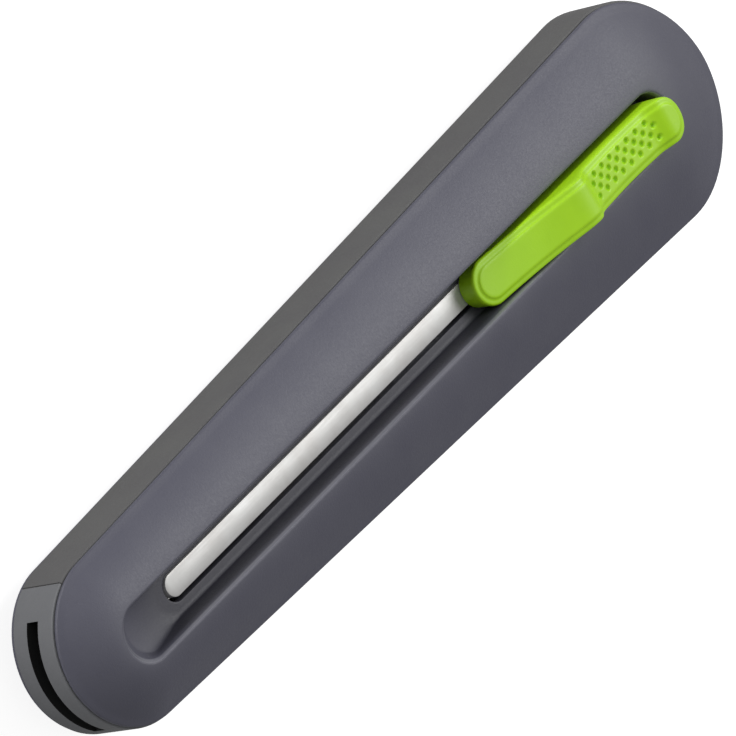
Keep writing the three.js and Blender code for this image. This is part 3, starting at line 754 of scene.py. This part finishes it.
# how far the top drops at a distance in from the slider's edge: a rounded rim, then a small step
DROP_AT = [0, 0.08, 0.2, 0.38, 0.8, 1.0, 1.2, 1.45]
DROP_BY = [0.72, 0.48, 0.34, 0.28, 0.26, 0.19, 0.04, 0]
slider_bottom = floor_height + 0.2  # the slider clears the recess floor
WEB_INNER, WEB_OUTER = 1.9, 2.25  # the web's two sides, left of the middle


def dimples(behind, across):
    """Depth of the thumb dimples: hollows of depth n^2 (3 - 2 n), n being 1 at a dimple's centre and 0
    at its rim, in four rows, every other row set half a pitch on."""
    depth = np.zeros_like(behind)
    for row in range(DIMPLE_ROWS):
        set_back = (row + 1) % 2  # these rows are half a pitch on and one dimple short
        start = DIMPLE_FIRST + set_back * DIMPLE_PITCH / 2
        column = np.clip(np.round((behind - start) / DIMPLE_PITCH), 0, DIMPLE_COLUMNS - 1 - set_back)
        side = (row - (DIMPLE_ROWS - 1) / 2) * DIMPLE_ROW
        away = np.hypot(behind - start - column * DIMPLE_PITCH, across - side)
        near = np.clip(1 - away / DIMPLE_RADIUS, 0, 1)
        depth = np.maximum(depth, DIMPLE_DEPTH * near ** 2 * (3 - 2 * near))
    return depth


def slider_skin():
    """The slider: its top is its side view less the drop near the edge and the dimples. The sides lean
    in below the rim, as the recess's walls do, by the draft over the recess's depth."""
    front_x, rear_x = slider_high[0], slider_low[0]
    half, shift = (slider_high[1] - slider_low[1]) / 2, (slider_high[1] + slider_low[1]) / 2
    side_view = rounded(SLIDER_TOP, steps=9)
    insets = np.concatenate([np.linspace(0, 1.3, 14), np.linspace(1.4, half, 22)])
    drop = np.interp(insets, DROP_AT, DROP_BY)
    plans = np.stack([stadium(front_x - d, rear_x + d, half - d, arc=30, side=420) for d in insets])
    plans = plans + [0, shift]
    behind = front_x - plans[..., 0]
    top = rim_height + np.interp(behind, side_view[:, 0], side_view[:, 1])
    top = top - drop[:, None] - dimples(behind, plans[..., 1])
    upper = np.concatenate([plans, top[..., None]], axis=2)
    foot = stadium(front_x, rear_x, half - RECESS_DRAFT, arc=30, side=420) + [0, shift]
    wall = []
    for share in (0.0, 0.06, 0.5, 0.9):
        ring = upper[0].copy()
        ring[:, 2] = slider_bottom + (ring[:, 2] - slider_bottom) * share
        lean = np.clip((ring[:, 2:] - floor_height) / RECESS_DEPTH, 0, 1)
        ring[:, :2] = foot + (ring[:, :2] - foot) * lean
        wall.append(ring)
    body = capped(np.concatenate([np.stack(wall), upper]), top=False)
    return solid("thumb_slider", [body], sharp=50)


place(guide_rail(), rail_metal, "body", "rail_metal", "guide_rail")
slider = slider_skin()
# a thin web runs along the rail's left side, down to the carrier
web_front = blade_low[0] - 8.4
web_rear = web_front - 29.5
web = slab((web_rear, WEB_INNER, slider_low[2]), (web_front, WEB_OUTER, slider_bottom + 0.5))
carve(slider, [web], way="UNION", sharp=50)
place(slider, lime_abs, "carriage", "slider_green", "slider_button")

# ------------------------------------------------------------------ blade

BLADE_SLANT, BLADE_TIP_ROUND, BLADE_BACK_ROUND = 11.0, 2.6, 1.0
BLADE_TIP_LOSS = 0.9  # what the rounding takes off each tip
EDGE_GRIND = 2.6  # how far in from the edge the blade is ground
EDGE_HALF = 0.04  # half the thickness left at the cutting edge


def blade_plan(edge_inset):
    """The blade's trapezoid with rounded corners; edge_inset draws in only the cutting side."""
    rear, tip, half = blade_low[0] - BLADE_TIP_LOSS, blade_high[0] + BLADE_TIP_LOSS, blade_high[1]
    lean = BLADE_SLANT * edge_inset / (2 * half)
    corners = [
        (rear + lean, -half + edge_inset, BLADE_TIP_ROUND),
        (tip - lean, -half + edge_inset, BLADE_TIP_ROUND),
        (tip - BLADE_SLANT, half, BLADE_BACK_ROUND), (rear + BLADE_SLANT, half, BLADE_BACK_ROUND),
    ]
    return rounded(corners, steps=14, closed=True)


def blade_skin():
    """The blade: flat faces, the cutting side ground down on both faces to a fine edge."""
    low, high = blade_low[2], blade_high[2]
    centre = (low + high) / 2
    steps = [(EDGE_GRIND, low), (0, centre - EDGE_HALF), (0, centre + EDGE_HALF), (EDGE_GRIND, high)]
    levels = np.stack([at_height(blade_plan(inset), z) for inset, z in steps])
    return solid("ceramic_blade", [capped(levels)], sharp=8)


blade = blade_skin()
PEG_GAP = 0.1
# the blade's holes go round the two pegs that hold it in the carrier
holes = []
for end in ("front", "rear"):
    low, high = box_mm(f"blade_peg_{end}")
    x, y = (low[:2] + high[:2]) / 2
    radius = (high[0] - low[0]) / 2 + PEG_GAP
    holes.append(bar(x, y, radius, blade_low[2] - 1, blade_high[2] + 1))
carve(blade, holes, sharp=8)
place(blade, zirconia, "carriage", "blade_ceramic", "blade")

# ------------------------------------------------------------------ spring


def coil_tube(turns=104, around=14, section=7, wire=0.24):
    """The return spring: a round wire along a helix, x = along, y = R cos a, z = height + R sin a. Its
    section is drawn in a plane through the axis, which is close enough for coils this tight."""
    radius = (spring_high[1] - spring_low[1]) / 2 - wire
    height = (spring_low[2] + spring_high[2]) / 2
    angle = np.linspace(0, turns * 2 * math.pi, turns * around)
    along = np.linspace(spring_low[0] + wire, spring_high[0] - wire, angle.size)
    across, up = np.cos(angle), np.sin(angle)
    ring = np.linspace(0, 2 * math.pi, section, endpoint=False)
    out = radius + wire * np.cos(ring)[None, :]
    points = np.stack([
        along[:, None] + wire * np.sin(ring)[None, :] * np.ones_like(out),
        out * across[:, None],
        height + out * up[:, None],
    ], axis=-1)
    return capped(points)


spring = solid("return_coil", [coil_tube()], sharp=60)
spring.data.materials.append(spring_wire)
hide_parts("return_spring")
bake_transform(spring)

# ------------------------------------------------------------------ screws

HEAD_HEIGHT, HEAD_RADIUS, SHANK_RADIUS, CROSS_DEPTH = 1.2, 1.6, 0.8, 0.65
SCREW_GAP, BOSS_WALL = 0.12, 1.3


def screw_skin(node):
    """A screw seen from below: a domed pan head with a cross recess, on a plain shank."""
    low, high = box_mm(node)
    x, y = (low[:2] + high[:2]) / 2
    radius = (high[0] - low[0]) / 2
    head = low[2]
    profile = rounded([
        (0.02, head, 0), (radius * 0.55, head, 0.8), (radius, head + 0.5, 0.25),
        (radius, head + HEAD_HEIGHT, 0.05), (SHANK_RADIUS, head + HEAD_HEIGHT, 0),
        (SHANK_RADIUS, high[2] - 0.5, 0), (0.3, high[2], 0),
    ])
    screw = solid(f"{node}_skin", [lathe(x, y, profile)])
    long, wide, depth = radius * 0.62, radius * 0.15, CROSS_DEPTH
    cross = [
        slab((x - long, y - wide, head - 1), (x + long, y + wide, head + depth)),
        slab((x - wide, y - long, head - 1), (x + wide, y + long, head + depth)),
    ]
    return carve(screw, cross)


screw_nodes = [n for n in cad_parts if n.startswith("cover_screw")] + ["nose_screw"]
for node in screw_nodes:
    place(screw_skin(node), plated_steel, "body", "fastener_steel", node)
    low, high = box_mm(node)
    x, y = (low[:2] + high[:2]) / 2
    seat = low[2] + HEAD_HEIGHT
    boss = bar(x, y, HEAD_RADIUS + BOSS_WALL, seat + 0.05, back_base - 0.02, steps=48)
    carve(back, [boss], way="UNION")
    counterbore = bar(x, y, HEAD_RADIUS + 2 * SCREW_GAP, back_low[2] - 2, seat, steps=48)
    hole = bar(x, y, SHANK_RADIUS + SCREW_GAP, back_low[2], back_base + 1)
    carve(back, [counterbore, hole])

# ------------------------------------------------------------------ inner pieces that keep their CAD mesh

for node, finish in {
    "rail_rivet_front": plated_steel, "rail_rivet_rear": plated_steel,
    "spring_post": plated_steel, "spring_hook": plated_steel, "blade_clamp": plated_steel,
    "clamp_screw_left": plated_steel, "clamp_screw_right": plated_steel,
    "blade_peg_front": plated_steel, "blade_peg_rear": plated_steel, "blade_carrier": carrier_nylon,
    "left_runner": acetal, "right_runner": acetal,
    "front_bumper_left": bumper_rubber, "front_bumper_right": bumper_rubber,
    "rear_bumper_left": bumper_rubber, "rear_bumper_right": bumper_rubber,
}.items():
    dress(node, finish)

# ------------------------------------------------------------------ studio


def floor_sheet():
    """A pale floor. What the lens sees of it is lifted nearly to white, which leaves a faint shadow."""
    material, tree, shader, where = new_material("pale_table", Roughness=0.9)
    cloud = add(tree, "ShaderNodeTexNoise", {"Vector": where, "Scale": per(60), "Detail": 2.0})
    pale = add(tree, "ShaderNodeMix", {
        "Factor": cloud.outputs["Fac"], "A": srgb("#c4c4c4"), "B": srgb("#bebebe"),
    }, data_type="RGBA")
    tree.links.new(pale.outputs["Result"], shader.inputs["Base Color"])
    shader.inputs["Emission Color"].default_value = srgb("#ffffff")
    seen = add(tree, "ShaderNodeLightPath").outputs["Is Camera Ray"]
    lift = add(tree, "ShaderNodeMapRange", {"Value": seen, "To Min": 0.0, "To Max": 0.82})
    tree.links.new(lift.outputs["Result"], shader.inputs["Emission Strength"])
    size = 3.0
    mesh = bpy.data.meshes.new("floor")
    corners = [(-size, -size, 0), (size, -size, 0), (size, size, 0), (-size, size, 0)]
    mesh.from_pydata(corners, [], [(0, 1, 2, 3)])
    mesh.materials.append(material)
    sheet = bpy.data.objects.new("floor", mesh)
    bpy.context.scene.collection.objects.link(sheet)


def softbox(name, spot, width, height, glow):
    """A rectangular area light that faces the knife, its long side level. glow is its brightness
    against white, so its power is glow pi width height."""
    light = bpy.data.lights.new(name, "AREA")
    light.shape, light.size, light.size_y = "RECTANGLE", width, height
    light.energy = glow * math.pi * width * height
    lamp = bpy.data.objects.new(name, light)
    lamp.location = spot
    lamp.rotation_mode = "QUATERNION"
    lamp.rotation_quaternion = (-Vector(spot)).to_track_quat("-Z", "Y")
    bpy.context.scene.collection.objects.link(lamp)


def studio():
    """A dim white room, a softbox above the rear end, and a low strip light along the right side and
    nose. The lens sees the room as full white."""
    world = bpy.data.worlds.new("surround")
    world.use_nodes = True
    tree = world.node_tree
    tree.nodes.clear()
    seen = add(tree, "ShaderNodeLightPath").outputs["Is Camera Ray"]
    strength = add(tree, "ShaderNodeMapRange", {"Value": seen, "To Min": 0.27, "To Max": 1.0})
    glow = add(tree, "ShaderNodeBackground", {"Color": srgb("#ffffff"), "Strength": strength.outputs[0]})
    add(tree, "ShaderNodeOutputWorld", {"Surface": glow.outputs[0]})
    bpy.context.scene.world = world
    bpy.context.scene.view_settings.view_transform = "Standard"
    softbox("overhead", (-0.7, -0.12, 0.85), 0.8, 0.7, 4.0)
    softbox("low_strip", (0.5, -0.87, 0.13), 1.3, 0.24, 6.8)


def camera():
    """A long lens that looks at the slider's face from the nose end, rolled so the knife lies aslant.
    Its focal length is the sensor's width times the distance over the view's width at the knife."""
    azimuth, elevation, roll = math.radians(-26.2), math.radians(46.64), math.radians(79.0)
    distance, view_width = 0.9, 0.107226  # metres
    away = Vector((
        math.cos(elevation) * math.cos(azimuth),
        math.cos(elevation) * math.sin(azimuth),
        math.sin(elevation),
    ))
    level = Vector((0, 0, 1)).cross(away).normalized()
    upright = away.cross(level)
    right = math.cos(roll) * level + math.sin(roll) * upright
    up = -math.sin(roll) * level + math.cos(roll) * upright
    lens = bpy.data.cameras.new("camera")
    lens.sensor_width = 36.0
    lens.lens = lens.sensor_width * distance / view_width
    lens.shift_x, lens.shift_y = -0.0217, -0.0134  # shares of the view's width
    lens.clip_start, lens.clip_end = 0.05, 20
    eye = bpy.data.objects.new("camera", lens)
    turn = Matrix((right, up, away)).transposed()
    eye.matrix_world = Matrix.Translation(Vector((0, 0, middle * MM)) + away * distance) @ turn.to_4x4()
    bpy.context.scene.collection.objects.link(eye)
    bpy.context.scene.camera = eye


floor_sheet()
studio()
camera()
